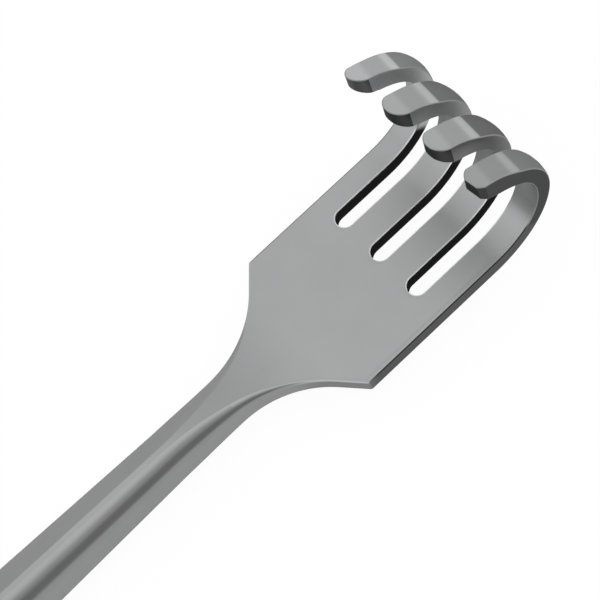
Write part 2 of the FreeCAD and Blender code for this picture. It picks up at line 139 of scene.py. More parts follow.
# Places along the instrument that follow from the sizes.
BEND_BACK = (CROWN_RADIUS - ROOT_RADIUS) * math.sin(ROOT_TURN)
BEND_START = HALF_LENGTH - HOOK_THICK - CROWN_RADIUS + BEND_BACK
SHOULDER = BEND_START - PLATE_LENGTH
SLOT_CENTRE = SHOULDER + SLOT_WEB + SLOT_HALF
FLARE_RISE = FLARE_RADIUS * (1 - math.cos(SHOULDER_ANGLE))
FLARE_TOP = SHOULDER - (PLATE_HALF - NECK_HALF - FLARE_RISE) / math.tan(SHOULDER_ANGLE)
NECK = FLARE_TOP - FLARE_RADIUS * math.sin(SHOULDER_ANGLE)
SWELL_END = FLARE_TOP - SWELL_LENGTH
INNER_PRONG = (2 * PLATE_HALF - (PRONGS - 1) * 2 * SLOT_HALF) / (PRONGS - 2 + 2 * OUTER_SHARE)
PITCH = INNER_PRONG + 2 * SLOT_HALF

# Outside of the bends, as radius and turn: the crown's circle touches the root's, which
# touches the back of the plate.
CROWN_OUTER = CROWN_RADIUS + HOOK_THICK
CROWN_RISE = PLATE_THICK + ROOT_RADIUS + (CROWN_RADIUS - ROOT_RADIUS) * math.cos(ROOT_TURN)
ROOT_OUTER = (CROWN_OUTER**2 - BEND_BACK**2 - CROWN_RISE**2) / (CROWN_OUTER - CROWN_RISE) / 2
BENDS = (
    (ROOT_OUTER, math.atan2(BEND_BACK, CROWN_RISE - ROOT_OUTER)),
    (CROWN_OUTER, CROWN_TURN),
    (TIP_RADIUS, TIP_TURN),
)
ENDS = BEND_START + np.cumsum([0.0] + [radius * turn for radius, turn in BENDS])
BLANK_END = ENDS[-1]
END_LEAN = math.tan(math.pi - sum(turn for _, turn in BENDS))

# The blunt ends from the -Y side to the +Y side. Each has the reach of its two corners,
# across and along, their roundness, where 2 is an ellipse and 1 a straight chamfer, its
# extra length and its skew.
TIPS = (
    ((0.7, 1.1), (1.5, 1.5), 1.25, 0.0, 0.12),
    ((2.4, 2.4), (2.0, 1.9), 1.8, 0.0, 0.0),
    ((2.4, 2.4), (2.0, 1.9), 1.8, 0.0, 0.0),
    ((2.3, 2.4), (1.4, 1.4), 1.7, 0.25, 0.0),
)

# How much light each of them gives back, as painted light and shade: its ground face, its
# crown, darkened as painted shade, its near side, with a painted reflection, and its end,
# darkened as painted shade.
PRONG_PAINTED_LEVELS = (
    (0.26, 0.178, 0.07, 0.05),
    (0.3, 0.124, 0.2, 0.05),
    (0.305, 0.141, 0.3, 0.05),
    (0.345, 0.19, 0.4, 0.1),
)

# The ground face of a prong, by distance back from the blunt end: its level as a share of
# the prong's own, with painted shade and a painted highlight as a bright band before the
# crown, and how much of the crown's painted shade there is. The band runs a little askew,
# by this much for each millimetre across.
GROUND_FACE_PAINTED_SHADING = (
    (0.0, 1.0), (2.5, 1.0), (3.4, 0.83), (5.8, 0.83), (6.6, 0.9),
    (7.0, 1.1), (7.5, 1.22), (8.3, 1.18), (9.5, 1.0),
)
CROWN_PAINTED_SHADE = ((8.4, 0.0), (8.8, 1.0), (21.0, 1.0), (26.0, 0.0))
BAND_SLANT = 0.14

# The level of the top by distance along the instrument, with painted shade at the neck and
# painted light on the plate.
TOP_PAINTED_SHADING = ((36.0, SATIN), (44.0, 0.235), (52.0, 0.235), (66.0, 0.3), (85.0, 0.32))

# How finely the surfaces are divided, in steps: a rounded edge, a wall's height, the round
# end of a slot, a corner of a blunt end, and then the plan curves, from the joint to the
# prongs and from the joint to the end of the grip. The prongs' are closer round the painted
# bright band, which lies between these distances back from the blunt end.
LIP_STEPS = 4
WALL_STEPS = 3
SLOT_END_STEPS = 12
CORNER_STEPS = 6
SHANK_STEPS = 23
NECK_STEPS = 15
HOLLOW_STEPS = 35
SHOULDER_STEPS = 7
FLANK_STEPS = 5
SIDE_STEPS = 4
WEB_STEPS = 8
PRONG_STEPS = (10, 30, 24, 24, 8)
BAND_ROWS = (9.6, 6.4)
TIP_STEPS = 10
STUB_STEPS = 19
FLARE_STEPS = 7
GRIP_WEB_STEPS = 10
WINDOW_STEPS = 16
ARM_STEPS = 4
ARM_SIDE_STEPS = 24

# Lengths this near, in millimetres, are the same. Points this near, in metres, are one
# point, edges this short are taken out, and edges with more than this angle stay sharp.
# The weight is how much the shading follows the large faces, from 1 to 100.
SAME_LENGTH = 1e-9
SAME_POINT = 2e-6
NO_LENGTH = 1e-7
SHARP = math.radians(50)
FACE_WEIGHT = 100


def smooth(t):
    """A rise from 0 to 1 with no slope at either end: t squared times (3 - 2t), t held
    between 0 and 1."""
    t = np.clip(t, 0, 1)
    return t * t * (3 - 2 * t)


def even(start, end, steps):
    """Numbers from start to end in even steps."""
    return np.linspace(start, end, steps + 1)


def quarter(steps):
    """Even angles over a quarter circle."""
    return even(0, math.pi / 2, steps)


class Blank:
    """A plate of varying thickness, collected as grids of points. A place is (s, y, z)
    in millimetres: s along the piece, y across and z up, before any bending."""

    def __init__(self, low, depth, rounding):
        """low, depth and rounding give the underside's height, the thickness and the
        rounding of the edges at any s."""
        self.low, self.depth, self.rounding = low, depth, rounding
        self.grids = []

    def grid(self, s, y, z, steel_level_and_painted_shading=SATIN):
        """Adds a grid of points with how much light the steel gives back there, painted shade and
        painted highlights included.
        """
        self.grids.append(np.stack(np.broadcast_arrays(s, y, z, steel_level_and_painted_shading), axis=-1).astype(float))

    def cover(self, s, y, under=SATIN, over=SATIN):
        """The underside and the top over one plan grid: the underside's height, and the
        same plus the thickness there."""
        low = self.low(s)
        self.grid(s, y, low, under)
        self.grid(s, y, low + self.depth(s), over)

    @staticmethod
    def edge():
        """One rounded edge as shares: how far behind the plan curve, how much of the
        rounding above the underside, the same below the top, and how far up the wall. A
        quarter circle, a straight stretch and a quarter circle."""
        turn = quarter(LIP_STEPS)
        straight = np.zeros(WALL_STEPS - 1)
        inset = np.concatenate([1 - np.sin(turn), straight, 1 - np.sin(turn[::-1])])
        rise = np.concatenate([1 - np.cos(turn), np.ones(WALL_STEPS + LIP_STEPS)])
        share = np.concatenate([
            np.zeros(LIP_STEPS), even(0, 1, WALL_STEPS), np.ones(LIP_STEPS),
        ])
        return inset, rise, rise[::-1], share

    def wall(self, s, y, out_s, out_y, steel_level_and_painted_shading=SATIN, lip=SATIN):
        """The wall along a plan curve whose outward direction is (out_s, out_y). Each point
        lies its inset times the rounding behind the curve. Its height above the underside
        goes from the rounding times the rise to the thickness less the rounding times the
        drop. The two rounded edges, the lips, have a level of their own. The wall's level and
        the lips' carry the painted shade and painted highlights given to them."""
        inset, rise, drop, share = self.edge()
        s, y, out_s, out_y, steel_level_and_painted_shading, lip = (
            np.asarray(values, float)[:, None]
            for values in np.broadcast_arrays(s, y, out_s, out_y, steel_level_and_painted_shading, lip)
        )
        rounding = self.rounding(s)
        s_in, y_in = s - out_s * inset * rounding, y - out_y * inset * rounding
        height = rounding * rise * (1 - share) + (self.depth(s_in) - rounding * drop) * share
        z = self.low(s_in) + height
        first, last = LIP_STEPS, LIP_STEPS + WALL_STEPS
        lower, flank, upper = slice(None, first + 1), slice(first, last + 1), slice(last, None)
        for part, level in ((lower, lip), (flank, steel_level_and_painted_shading), (upper, lip)):
            self.grid(s_in[:, part], y_in[:, part], z[:, part], level)

    def close(self, s, half, spread, radius, reach):
        """Closes the cut at s round a tenon or a socket: a ring from the piece's outline to
        a circle at the same angles, that circle carried to reach, and its middle."""
        inset, rise, drop, share = self.edge()
        rounding, low, depth = self.rounding(s), self.low(s), self.depth(s)
        side = half - inset * rounding
        climb = low + rounding * rise * (1 - share) + (depth - rounding * drop) * share
        row = (half - rounding) * spread
        y = np.concatenate([row, side, row[::-1], -side[::-1]])
        under, over = np.full(row.shape, low), np.full(row.shape, low + depth)
        z = np.concatenate([under, climb, over, climb[::-1]])
        angle = np.arctan2(z - SHANK_HEIGHT, y)
        ring_y, ring_z = radius * np.cos(angle), SHANK_HEIGHT + radius * np.sin(angle)
        middle_y, middle_z = np.zeros(y.shape), np.full(z.shape, SHANK_HEIGHT)
        stations = np.array([s, s, reach, reach])[:, None]
        across, up = [y, ring_y, ring_y, middle_y], [z, ring_z, ring_z, middle_z]
        self.grid(stations, np.stack(across), np.stack(up))

    def piece(self, name, place):
        """One closed mesh of all the grids, whose points place() puts in the row frame."""
        points, quads, start = [], [], 0
        for rows in self.grids:
            n, m = rows.shape[:2]
            index = start + np.arange(n * m).reshape(n, m)
            corners = [index[:-1, :-1], index[1:, :-1], index[1:, 1:], index[:-1, 1:]]
            quads.append(np.stack(corners, -1).reshape(-1, 4))
            points.append(rows.reshape(-1, 4))
            start += n * m
        points, quads = np.concatenate(points), np.concatenate(quads)
        mesh = bpy.data.meshes.new(name)
        mesh.from_pydata((place(*points[:, :3].T) * MM).tolist(), [], quads.tolist())
        # The level that each corner carries, painted shade and painted highlights included.
        steel_level_and_painted_shading = mesh.attributes.new("steel_level_and_painted_shading", "FLOAT", "CORNER")
        steel_level_and_painted_shading.data.foreach_set("value", points[quads.ravel(), 3].astype(np.float32))
        work = bmesh.new()
        work.from_mesh(mesh)
        bmesh.ops.remove_doubles(work, verts=work.verts, dist=SAME_POINT)
        bmesh.ops.dissolve_degenerate(work, dist=NO_LENGTH, edges=work.edges)
        bmesh.ops.recalc_face_normals(work, faces=work.faces)
        work.to_mesh(mesh)
        work.free()
        mesh.shade_smooth()
        mesh.set_sharp_from_angle(angle=SHARP)
        piece = bpy.data.objects.new(name, mesh)
        bpy.context.scene.collection.objects.link(piece)
        shading = piece.modifiers.new("even_shading", "WEIGHTED_NORMAL")
        shading.weight = FACE_WEIGHT
        shading.keep_sharp = True
        return piece


def between(start, end, steps):
    """Rows that go straight from one plan curve to another, in even steps."""
    t = even(0, 1, steps)[:, None]
    return [a * (1 - t) + b * t for a, b in zip(start, end)]


def part_way(start, end, share):
    """The value that lies this share of the way from start to end."""
    return start + (end - start) * share


def stretches(edges, counts):
    """Numbers spread evenly over each stretch between two edges, all in one rising row."""
    parts = [even(a, b, steps)[:-1] for a, b, steps in zip(edges[:-1], edges[1:], counts)]
    return np.concatenate(parts + [edges[-1:]])


# Rake head.

def swell(s):
    """How far the plate has swelled into the shank."""
    return smooth((FLARE_TOP - s) / SWELL_LENGTH)


def widened(s):
    """How far the shank has widened, each side, behind the end of the swell."""
    return np.maximum(SWELL_END - s, 0) * SHANK_SLOPE


def rake_depth(s):
    """Thickness: the plate's, then the shank's as the plate swells, and both sides' widening."""
    return PLATE_THICK + (SHANK_DEPTH - PLATE_THICK) * swell(s) + 2 * widened(s)


def rake_low(s):
    """Height of the underside: half the thickness under a middle that drops as it swells."""
    middle = PLATE_LIFT + PLATE_THICK / 2
    return middle + (SHANK_HEIGHT - middle) * swell(s) - rake_depth(s) / 2


def rake_rounding(s):
    """Radius of the edges: a broken edge on the plate, nearly half the section on the shank."""
    return EDGE + (SHANK_ROUND - EDGE) * swell(s) + widened(s)


def top_painted_shading(s):
    """How much light the top gives back: painted shade at the neck, painted light on the plate."""
    return np.interp(s, *np.array(TOP_PAINTED_SHADING).T)


def rake_outline():
    """Plan curve of one flank from the joint to the slots: an evenly widening shank, a neck
    that draws in smoothly, a hollow flank, a straight flank at the shoulder's angle, a
    small round at the shoulder and the plate's straight side. An arc goes along by its
    radius times the sine of an even angle and across by its radius times 1 less the
    cosine. Gives s, y and the outward direction."""
    shank = even(-JOINT, SWELL_END, SHANK_STEPS)
    neck = even(SWELL_END, NECK, NECK_STEPS)[1:-1]
    turn = even(0, SHOULDER_ANGLE, HOLLOW_STEPS)
    hollow = NECK + FLARE_RADIUS * np.sin(turn)
    hollow_half = NECK_HALF + FLARE_RADIUS * (1 - np.cos(turn))
    reach = SHOULDER_ROUND * math.tan(SHOULDER_ANGLE / 2)
    round_turn = even(SHOULDER_ANGLE, 0, SHOULDER_STEPS)
    round_s = SHOULDER + reach - SHOULDER_ROUND * np.sin(round_turn)
    round_y = PLATE_HALF - SHOULDER_ROUND * (1 - np.cos(round_turn))
    ramp = even(0, 1, FLANK_STEPS)[1:-1]
    ramp_s = part_way(hollow[-1], round_s[0], ramp)
    ramp_y = part_way(hollow_half[-1], round_y[0], ramp)
    side = even(round_s[-1], SHOULDER + SLOT_WEB / 2, SIDE_STEPS)[1:]
    neck_share = (SWELL_END - neck) / (SWELL_END - NECK)
    s = np.concatenate([shank, neck, hollow, ramp_s, round_s, side])
    y = np.concatenate([
        SHANK_HALF + widened(shank), part_way(SHANK_HALF, NECK_HALF, smooth(neck_share)),
        hollow_half, ramp_y, round_y, np.full(side.shape, PLATE_HALF),
    ])
    lean = np.concatenate([
        np.zeros(shank.size + neck.size), turn, np.full(ramp.size, SHOULDER_ANGLE),
        round_turn, np.zeros(side.size),
    ])
    return s, y, -np.sin(lean), np.cos(lean)


def blunt_end(low, high, corners, power, end, skew):
    """Plan curve of a prong's blunt end, from its -Y side to its +Y side: at either corner
    a superellipse, on which |along / reach| to the power plus |across / reach| to the
    power makes 1, with a straight stretch between, and the whole drawn askew by the skew
    times the distance from the middle. Gives s, y and the outward direction, in which
    that sum grows fastest."""
    turn = quarter(CORNER_STEPS)
    sides = []
    for (across, along), side, sign in zip(corners, (low, high), (1, -1)):
        rise, run = np.sin(turn), np.cos(turn)
        s = end - along + along * rise ** (2 / power)
        y = side + sign * across * (1 - run ** (2 / power))
        out = np.stack([rise ** (2 - 2 / power) / along, -sign * run ** (2 - 2 / power) / across])
        sides.append(np.stack([s, y, *(out / np.hypot(*out))]))
    first, second = sides[0], sides[1][:, ::-1]
    middle = (first[:, -1:] + second[:, :1]) / 2
    s, y, out_s, out_y = np.concatenate([first, middle, second], axis=1)
    askew = skew * (y - (low + high) / 2) * smooth((s - end + TIP_REACH) / TIP_REACH)
    return s + askew, y, out_s, out_y


def hook_thickness(s):
    """Thickness of the strip by its length round the outside: it thins through the first
    bend, is even round the crown, thickens towards the tip and thins at the blunt end."""
    first, last = ENDS[1] + THIN_PAST - BEND_START, BLANK_END - ENDS[2]
    thinned = (PLATE_THICK - HOOK_THICK) * smooth((s - BEND_START) / first)
    swelled = TIP_SWELL * smooth((s - ENDS[2] + TIP_SWELL_LENGTH) / TIP_SWELL_LENGTH)
    return PLATE_THICK - thinned + swelled - TIP_THINNING * smooth((s - ENDS[2]) / last)


def curled(s, y, z):
    """Bends the flat blank up at its front. Past each bend's start a point turns about the
    bend's centre by the length along the outside over the outer radius, at that radius
    less its own depth into the strip. Towards the blunt end the inside is drawn back by
    its depth times a slope, so that the end stands upright."""
    depth = (z - PLATE_LIFT) * hook_thickness(s) / PLATE_THICK
    s = s - END_LEAN * depth * smooth((s - ENDS[2]) / (BLANK_END - TIP_REACH - ENDS[2]))
    x_out, z_out = s.copy(), z.copy()
    turned = -math.pi / 2
    centre = np.array([BEND_START, PLATE_LIFT + BENDS[0][0]])
    for number, (radius, turn) in enumerate(BENDS):
        angle = turned + (s - ENDS[number]) / radius
        ahead = s > ENDS[number]
        x_out = np.where(ahead, centre[0] + (radius - depth) * np.cos(angle), x_out)
        z_out = np.where(ahead, centre[1] + (radius - depth) * np.sin(angle), z_out)
        turned += turn
        if number + 1 < len(BENDS):
            step = radius - BENDS[number + 1][0]
            centre = centre + step * np.array([math.cos(turned), math.sin(turned)])
    return np.stack([x_out, y, z_out], axis=-1)


def hand_finished(rows, low, high):
    """Moves a prong's points, all the more the nearer they are to its outside. Towards the
    blunt end they go to +Y, by a share that falls evenly from the -Y edge to the +Y one.
    Round the crown they go outwards, by 1 less the square of their distance from the
    middle over half the width."""
    s, y, z = rows[..., 0], rows[..., 1], rows[..., 2]
    outer, back = (PLATE_TOP - z) / PLATE_THICK, BLANK_END - s
    ground = smooth((s - BLANK_END + GROUND_OFF_START) / (GROUND_OFF_START - GROUND_OFF_FULL))
    begins, full, fades, ends = CROWNED
    crowned = smooth((back - begins) / (full - begins)) * smooth((ends - back) / (ends - fades))
    from_middle = (2 * y - low - high) / (high - low)
    rows[..., 2] -= CROWNING * PLATE_THICK / HOOK_THICK * crowned * outer * (1 - from_middle**2)
    rows[..., 1] += GROUND_OFF * ground * outer * (high - y) / (high - low)


def make_rake_head():
    """Shank, neck, flare and slotted plate as one blank with four curled prongs. The web
    reaches the centres of the slots' round ends, and inside a slot it stops short of that
    by the square root of the radius squared less the distance from the slot's middle
    squared."""
    blank = Blank(rake_low, rake_depth, rake_rounding)
    slots = PITCH * (np.arange(PRONGS - 1) - (PRONGS - 2) / 2) + SLOT_SHIFT
    lefts = np.concatenate([[-PLATE_HALF], slots + SLOT_HALF])
    rights = np.concatenate([slots - SLOT_HALF, [PLATE_HALF]])
    tips = []
    for low, high, (*corners, power, extra, skew) in zip(lefts, rights, TIPS):
        tips.append(blunt_end(low, high, corners, power, BLANK_END + extra, skew))
    flats = [(s - out_s * EDGE, y - out_y * EDGE) for s, y, out_s, out_y in tips]
    arc = even(-math.pi / 2, math.pi / 2, SLOT_END_STEPS)
    cleared = SLOT_HALF + EDGE
    across = flats[0][1]
    for middle, flat in zip(slots, flats[1:]):
        end = middle + cleared * np.sin(arc)
        across = np.concatenate([across, end[1:-1], flat[1]])
    spread = across / across[-1]

    # Shank to plate.
    s, y, out_s, out_y = rake_outline()
    rounding = rake_rounding(s)
    flat_s, flat_y = s - out_s * rounding, y - out_y * rounding
    shank = flat_s[:, None] + 0 * spread, flat_y[:, None] * spread
    blank.cover(*shank, over=top_painted_shading(shank[0]))
    # The flanks' walls darken as painted shade and their lips lighten as a painted highlight; past
    # the shoulder both give way to the plate's painted shade.
    flared = smooth((FLARE_ROUNDING - rounding) / FLARE_ROUNDING)
    plated = smooth((s - SHOULDER) / SHOULDER_FADE)
    steel_level_and_painted_shading = part_way(part_way(SATIN, FLARE_WALL_PAINTED_SHADE, flared), PLATE_WALL_PAINTED_SHADE, plated)
    lip = part_way(part_way(SATIN, FLARE_LIP_PAINTED_HIGHLIGHT, flared), PLATE_LIP_PAINTED_SHADE, plated)
    for side in (1, -1):
        blank.wall(s, side * y, out_s, side * out_y, steel_level_and_painted_shading, lip)
    blank.close(-JOINT, y[0], spread, SPIGOT_RADIUS, -JOINT - SPIGOT_LENGTH)

    # Web between the plate's sides, up to the round ends of the slots.
    front = np.full(across.shape, SLOT_CENTRE)
    for middle in slots:
        inside = np.abs(across - middle) < cleared
        drop = np.sqrt(np.maximum(cleared**2 - (across - middle) ** 2, 0))
        front = np.where(inside, SLOT_CENTRE - drop, front)
    web = between((np.full(across.shape, flat_s[-1]), across), (front, across), WEB_STEPS)
    blank.cover(*web, over=top_painted_shading(web[0]))
    # The plate's sides carry painted shade; the slots' round ends carry near-black painted shade,
    # with a painted highlight on their lips.
    for side in (1, -1):
        blank.wall(web[0][:, 0], side * PLATE_HALF, 0, side, PLATE_WALL_PAINTED_SHADE, PLATE_LIP_PAINTED_SHADE)
    for middle in slots:
        round_s, round_y = SLOT_CENTRE - SLOT_HALF * np.cos(arc), middle + SLOT_HALF * np.sin(arc)
        blank.wall(round_s, round_y, np.cos(arc), -np.sin(arc), SLOT_WALL_PAINTED_SHADE, SLOT_LIP_PAINTED_HIGHLIGHT)

    # Prongs and their blunt ends.
    band = [BLANK_END - back for back in BAND_ROWS]
    along = stretches([SLOT_CENTRE, *ENDS[:2], *band, BLANK_END - TIP_REACH], PRONG_STEPS)
    spots, levels = np.array(GROUND_FACE_PAINTED_SHADING).T
    places, shares = np.array(CROWN_PAINTED_SHADE).T
    for low, high, tip, flat, painted_levels in zip(lefts, rights, tips, flats, PRONG_PAINTED_LEVELS):
        first = len(blank.grids)
        face, crown, near, end = painted_levels
        body = along[:, None] + 0 * flat[1]
        ending = between((np.full(flat[1].shape, along[-1]), flat[1]), flat, TIP_STEPS)
        for rows in ((body, flat[1] + 0 * body), ending):
            # The outside's painted shading: a painted highlight in the bright band, painted shade
            # in the dip and on the crown.
            back = BLANK_END - rows[0] - BAND_SLANT * (rows[1] - (low + high) / 2)
            level = part_way(SATIN, face, smooth((rows[0] - ENDS[1]) / BEND_FADE))
            level = level * np.interp(back, spots, levels)
            level = part_way(level, crown, np.interp(back, places, shares))
            blank.cover(*rows, under=level, over=top_painted_shading(rows[0]))
        # Each side carries the painted shade of its slot wall, or of the plate's side on the outer
        # prongs, and near the blunt end the hook's own painted level; its lips carry painted levels
        # too.
        for column, side, outward, hooked in ((0, low, -1, near), (-1, high, 1, FAR_WALL_PAINTED_LIGHT)):
            outer = abs(side) == PLATE_HALF
            start, lip = (PLATE_WALL_PAINTED_SHADE, PLATE_LIP_PAINTED_SHADE) if outer else (SLOT_WALL_PAINTED_SHADE, SLOT_LIP_PAINTED_HIGHLIGHT)
            edge = np.concatenate([along, ending[0][1:, column]])
            share = smooth((edge - BLANK_END + DARK_WALL) / DARK_WALL_FADE)
            steel_level_and_painted_shading, lip = part_way(start, hooked, share), part_way(lip, HOOK_LIP_PAINTED_SHADE, share)
            blank.wall(edge, side, 0, outward, steel_level_and_painted_shading, lip)
        # The blunt end's wall carries painted shade.
        blank.wall(*tip, end, HOOK_LIP_PAINTED_SHADE)
        for rows in blank.grids[first:]:
            hand_finished(rows, low, high)

    return blank.piece("rake_head_steel", curled)


# Handle.

def handle_depth(s):
    """Thickness: from the joint's to the grip's in a straight line, then falling in another
    straight line towards the grip's end."""
    joint = SHANK_DEPTH + 2 * widened(-JOINT)
    stub = joint + (GRIP_THICK - joint) * (s - JOINT) / (GRIP_FRONT - JOINT)
    fall = (GRIP_THICK - GRIP_END_THICK) / (HALF_LENGTH + FALL_PAST_END - GRIP_FRONT)
    return np.where(s < GRIP_FRONT, stub, GRIP_THICK - fall * (s - GRIP_FRONT))


def handle_low(s):
    """Height of the underside: half the thickness under the shank's axis, then the table's."""
    return np.where(s < GRIP_FRONT, SHANK_HEIGHT - handle_depth(np.minimum(s, GRIP_FRONT)) / 2, 0.0)


def handle_rounding(s):
    """Radius of the edges: from the joint's in a straight line to the grip's."""
    joint = SHANK_ROUND + widened(-JOINT)
    return joint + (GRIP_ROUND - joint) * np.clip((s - JOINT) / (GRIP_FRONT - JOINT), 0, 1)


def backwards(s, y, z):
    """The handle's stations count towards -X."""
    return np.stack([-s, y, z], axis=-1)


def make_handle():
    """Stub of shank and tear-drop grip with its window, as one blank. The grip's hollow
    side and round end are arcs, at their radius times the sine and cosine of an even angle,
    and the straight side between touches both: its slope's sine is the sum of their radii
    over the distance between their centres, with the slope counted from the line through
    the centres. The window's side does the same for its two ends, with the difference of
    their radii."""
    blank = Blank(handle_low, handle_depth, handle_rounding)
    middle = HALF_LENGTH - GRIP_END
    narrow = GRIP_FRONT + WINDOW_WEB + WINDOW_FRONT
    run, rise = middle - GRIP_FRONT, GRIP_HALF + GRIP_FLARE
    slope = math.asin((GRIP_FLARE + GRIP_END) / math.hypot(run, rise)) - math.atan2(rise, run)
    opening = math.asin((WINDOW_END - WINDOW_FRONT) / (middle - narrow))

    # Outer plan curve: stub, hollow arc, straight side up to the window's front, straight
    # side beside the window, and half of the round end.
    turn = even(0, slope, FLARE_STEPS)
    flare_s = GRIP_FRONT + GRIP_FLARE * np.sin(turn)
    flare_y = GRIP_HALF + GRIP_FLARE * (1 - np.cos(turn))
    split = narrow - (WINDOW_FRONT + GRIP_ROUND) * math.sin(opening)
    split_s = split - math.sin(slope) * GRIP_ROUND
    split_y = flare_y[-1] + (split_s - flare_s[-1]) * math.tan(slope)
    stub = even(JOINT, GRIP_FRONT, STUB_STEPS)[:-1]
    joint_half = SHANK_HALF + widened(-JOINT)
    stub_y = joint_half + (GRIP_HALF - joint_half) * (stub - JOINT) / (GRIP_FRONT - JOINT)
    share = even(0, 1, GRIP_WEB_STEPS)[1:]
    web_s, web_y = part_way(flare_s[-1], split_s, share), part_way(flare_y[-1], split_y, share)
    s, y = np.concatenate([stub, flare_s, web_s]), np.concatenate([stub_y, flare_y, web_y])
    lean = np.concatenate([0 * stub, turn, 0 * share + slope])

    # Columns: the arms at either side, and between them the window's front arc.
    radius = WINDOW_FRONT + GRIP_ROUND
    arc = even(opening - math.pi / 2, math.pi / 2 - opening, WINDOW_STEPS)
    inner = radius * np.sin(arc)
    flat_half = split_y - math.cos(slope) * GRIP_ROUND
    arm = even(inner[-1], flat_half, ARM_STEPS)[1:]
    across = np.concatenate([-arm[::-1], inner, arm])
    spread = across / across[-1]
    rounding = handle_rounding(s)
    flat_s, flat_y = s + np.sin(lean) * rounding, y - np.cos(lean) * rounding
    before = flat_s.size - share.size
    blank.cover(flat_s[:before, None] + 0 * spread, flat_y[:before, None] * spread)
    hollow = narrow - np.sqrt(np.maximum(radius**2 - across**2, 0))
    front = np.where(np.abs(across) < inner[-1] + SAME_LENGTH, hollow, split)
    last = flat_s[before - 1] + 0 * spread, flat_y[before - 1] * spread
    blank.cover(*between(last, (front, across), share.size))
    for side in (1, -1):
        blank.wall(s, side * y, -np.sin(lean), side * np.cos(lean))

    # The arms: straight beside the window, then round its wide end. Each has an inner and an
    # outer curve, with the place where it starts, its radius and its tilt.
    share = even(0, 1, ARM_SIDE_STEPS)[:, None]
    sides = (
        ((split, inner[-1]), WINDOW_END + GRIP_ROUND, opening),
        ((split, flat_half), GRIP_END - GRIP_ROUND, slope),
    )
    curves = []
    for first, reach, tilt in sides:
        last = middle - reach * math.sin(tilt), reach * math.cos(tilt)
        angle = -tilt + (math.pi / 2 + tilt) * share[1:]
        straight_s, straight_y = (part_way(a, b, share) for a, b in zip(first, last))
        curve_s = np.concatenate([straight_s, middle + reach * np.sin(angle)])
        curve_y = np.concatenate([straight_y, reach * np.cos(angle)])
        curves.append((curve_s, curve_y, np.concatenate([tilt + 0 * share, -angle])))
    (in_s, in_y, _), (out_s, out_y, _) = curves
    t = even(0, 1, arm.size)[None, :]
    for side in (1, -1):
        blank.cover(in_s * (1 - t) + out_s * t, side * (in_y * (1 - t) + out_y * t))
        for (curve_s, curve_y, tilt), outward in zip(curves, (-1, 1)):
            lean_s, lean_y = -outward * np.sin(tilt), outward * np.cos(tilt)
            wall_s, wall_y = curve_s + lean_s * GRIP_ROUND, curve_y + lean_y * GRIP_ROUND
            blank.wall(wall_s[:, 0], side * wall_y[:, 0], lean_s[:, 0], side * lean_y[:, 0])
    away_s, away_y = np.cos(arc), -np.sin(arc)
    blank.wall(narrow - WINDOW_FRONT * away_s, -WINDOW_FRONT * away_y, away_s, away_y)
    blank.close(JOINT, joint_half, spread, SOCKET_RADIUS, JOINT + SOCKET_LENGTH)
    return blank.piece("handle_steel", backwards)


# Steel, stage, light and camera.

class Socket:
    """A socket of a material's nodes. Arithmetic on it adds Math nodes."""

    def __init__(self, shade, socket):
        self.shade, self.socket = shade, socket

    def maths(self, operation, *values, **settings):
        """One Math node on the values, in their order."""
        settings = {"operation": operation, **settings}
        return self.shade.node("ShaderNodeMath", settings, dict(enumerate(values)))

    def __add__(self, other):
        return self.maths("ADD", self, other)

    def __sub__(self, other):
        return self.maths("SUBTRACT", self, other)

    def __rsub__(self, other):
        return self.maths("SUBTRACT", other, self)

    def __mul__(self, other):
        return self.maths("MULTIPLY", self, other)

    def __abs__(self):
        return self.maths("ABSOLUTE", self)

    __radd__, __rmul__ = __add__, __mul__

    def clamp(self):
        """The value held between 0 and 1."""
        return self.maths("ADD", self, 0, use_clamp=True)


class Shade:
    """The nodes of one material or of the world."""

    def __init__(self, owner):
        owner.use_nodes = True
        self.tree = owner.node_tree
        self.tree.nodes.clear()

    def node(self, kind, settings=None, inputs=None, out=0):
        """Adds a node of that kind, sets it, fills its sockets and gives one output."""
        made = self.tree.nodes.new(kind)
        for name, setting in (settings or {}).items():
            setattr(made, name, setting)
        for name, filled in (inputs or {}).items():
            if isinstance(filled, Socket):
                self.tree.links.new(filled.socket, made.inputs[name])
            else:
                made.inputs[name].default_value = filled
        return Socket(self, made.outputs[out]) if len(made.outputs) else None

    def dot(self, vector, other):
        """The dot product of a vector and a fixed one."""
        settings, inputs = {"operation": "DOT_PRODUCT"}, {0: vector, 1: other}
        return self.node("ShaderNodeVectorMath", settings, inputs, out="Value")

    def ramp(self, value, low, high):
        """A smooth rise from 0 at low to 1 at high."""
        return self.node("ShaderNodeMapRange", {"interpolation_type": "SMOOTHSTEP"},
                         {"Value": value, "From Min": low, "From Max": high})


# Finish of the steel. Its roughness starts from a base, gains the blasting's between two
# places along the instrument, in metres, and the clouds' share. A fine grain raises the
# surface by up to its height, in metres. The clouds vary the given level a little.
ROUGHNESS = 0.2
BLASTING = 0.24
BLASTED = (0.05, 0.075)
CLOUD_ROUGHNESS = 0.03
GRAIN_SCALE, GRAIN_DETAIL = 6000.0, 2.0
GRAIN_STRENGTH, GRAIN_HEIGHT = 0.03, 0.00002
CLOUD_SCALE, CLOUD_DETAIL = 160.0, 3.0
LEVEL_BASE, LEVEL_CLOUD = 0.96, 0.1
BLACK, WHITE = (0, 0, 0, 1), (1, 1, 1, 1)
BRIGHT_STEEL = (0.985, 0.99, 1.0, 1)


